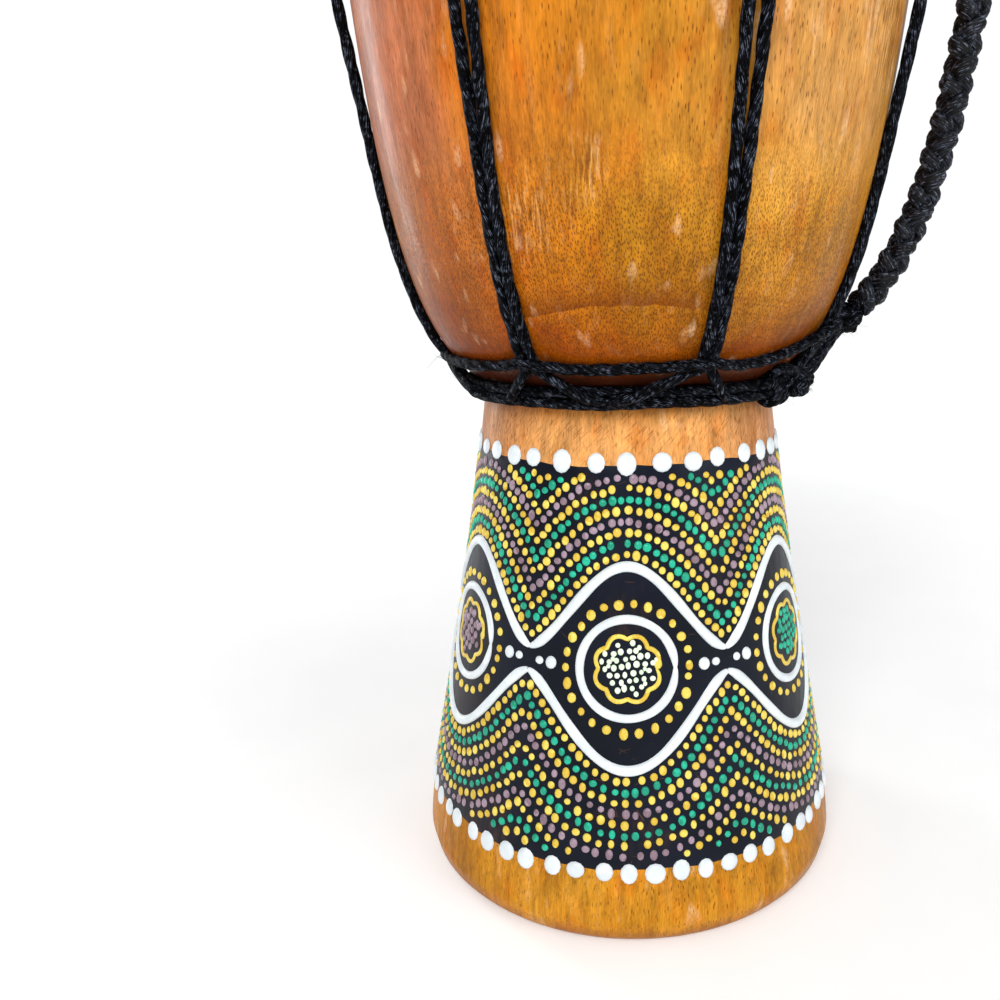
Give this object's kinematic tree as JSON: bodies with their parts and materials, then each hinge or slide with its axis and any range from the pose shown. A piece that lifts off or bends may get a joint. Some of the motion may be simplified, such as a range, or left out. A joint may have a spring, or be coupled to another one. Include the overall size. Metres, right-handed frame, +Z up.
{
  "type": "djembe",
  "caption": "Rope-laced goblet hand drum with a wooden shell, a goat skin head over iron hoops, paired black rope verticals, a dot-painted foot and a plaited carrying strap.",
  "frame": {"origin": "centre of the foot's underside, on the drum's axis", "axes": "+Z up along the drum's axis to the skin; -Y is the front, and the strap is on the +X side"},
  "size_m": [0.2711, 0.2555, 0.5],
  "materials": {
    "wood": "lacquered orange-brown hardwood with a dark painted band on the foot",
    "skin": "dry rawhide goat skin",
    "iron": "black paint",
    "rope": "black laid synthetic rope",
    "whipping": "black cord wound tightly",
    "strap": "black plaited cord"
  },
  "bodies": {
    "drum": {"shell": "wood", "drum_skin": "skin", "flesh_hoop": "iron", "crown_hoop": "iron", "crown_wrap": "whipping", "crown_loops": "rope", "waist_hoop": "iron", "waist_turns": "rope", "waist_loops": "rope", "belt_rope": "rope", "waist_knot": "rope", "strap_tie_low": "rope", "strap_knot_low": "rope", "strap_tie_high": "rope", "strap_knot_high": "rope", "lacing_pair_1": "rope", "lacing_pair_2": "rope", "lacing_pair_3": "rope", "lacing_pair_4": "rope", "lacing_pair_5": "rope", "lacing_pair_6": "rope", "lacing_pair_7": "rope"},
    "strap": {"strap": "strap"}
  },
  "joints": [
    {"name": "strap_swing", "type": "hinge", "parent": "drum", "child": "strap", "pos_m": [0.08635, -0.0106, 0.227], "axis": [0.2043, -0.0251, 0.9786], "range_deg": [-60, 75]}
  ]
}
